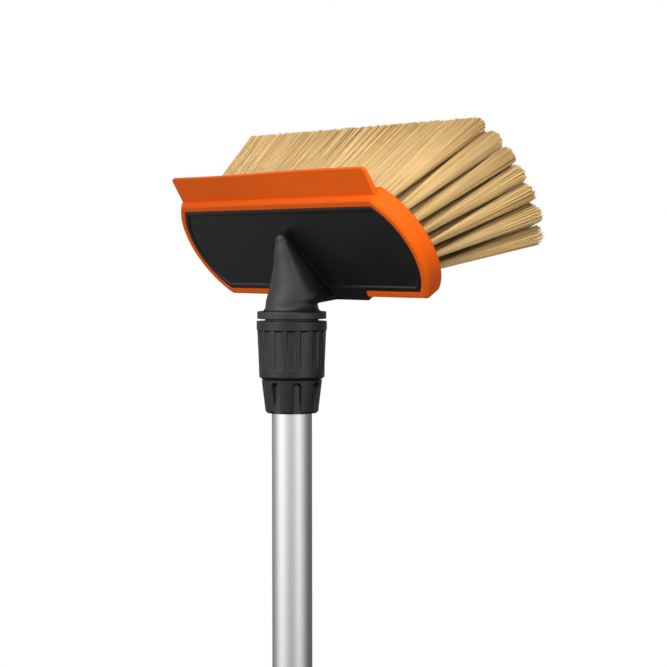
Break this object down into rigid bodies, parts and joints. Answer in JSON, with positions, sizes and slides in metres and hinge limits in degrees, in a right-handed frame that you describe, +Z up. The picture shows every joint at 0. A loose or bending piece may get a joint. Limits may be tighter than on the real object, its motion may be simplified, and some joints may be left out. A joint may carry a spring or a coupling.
{
  "type": "water-fed brush",
  "caption": "Water-fed washing brush: tilted bristle head with a rubber bumper and squeegee on an aluminium pole with grip, shut-off valve and hose plug.",
  "frame": {"origin": "middle of the foam grip, on the pole's axis", "axes": "+Z up the pole towards the head; +Y the way the bristles face; X along the head"},
  "size_m": [0.2696, 0.1298, 0.729],
  "materials": {
    "black_abs": "satin, fine moulded grain",
    "black_nylon": "matt, fine moulded grain",
    "orange_rubber": "matt moulded rubber",
    "orange_nylon": "satin moulded nylon",
    "tan_bristle": "flagged synthetic fibre",
    "cream_block": "matt moulded polypropylene",
    "aluminium": "drawn and anodised, satin",
    "steel": "stainless, plain",
    "brass": "turned",
    "nitrile": "moulded nitrile rubber",
    "ptfe": "turned",
    "foam": "closed-cell foam"
  },
  "bodies": {
    "pole": {"pole_tube": "aluminium", "coupling_body": "black_nylon", "collet_ring": "black_nylon", "socket_washer": "nitrile", "tail_o_ring": "nitrile", "foam_grip": "foam", "valve_body": "black_abs", "valve_seat_upper": "ptfe", "valve_seat_lower": "ptfe", "hose_plug": "black_abs", "plug_o_ring": "nitrile", "inlet_filter": "steel"},
    "head": {"back_shell": "black_abs", "rim_bumper": "orange_rubber", "squeegee_blade": "orange_rubber", "bristle_block": "cream_block", "chamber_gasket": "nitrile", "bristle_row_1": "tan_bristle", "bristle_row_2": "tan_bristle", "bristle_row_3": "tan_bristle", "bristle_row_4_right": "tan_bristle", "bristle_row_4_left": "tan_bristle", "bristle_row_5": "tan_bristle", "bristle_row_6": "tan_bristle", "bristle_row_7": "tan_bristle", "block_screw_1": "steel", "block_screw_2": "steel", "block_screw_3": "steel", "block_screw_4": "steel", "spigot_o_ring_1": "nitrile", "spigot_o_ring_2": "nitrile"},
    "sleeve": {"locking_sleeve": "black_nylon"},
    "valve": {"valve_ball": "brass", "valve_stem": "brass", "stem_o_ring": "nitrile", "valve_lever": "orange_nylon", "lever_screw": "steel"}
  },
  "joints": [
    {"name": "head_pull_off", "type": "slide", "parent": "pole", "child": "head", "axis": [0, 0, 1], "range_m": [0, 0.045]},
    {"name": "sleeve_turn", "type": "hinge", "parent": "pole", "child": "sleeve", "pos_m": [0, 0, 0.434], "axis": [0, 0, 1], "range_deg": [0, 90]},
    {"name": "valve_turn", "type": "hinge", "parent": "pole", "child": "valve", "pos_m": [0, 0, -0.1135], "axis": [0, 1, 0], "range_deg": [0, 90]}
  ]
}
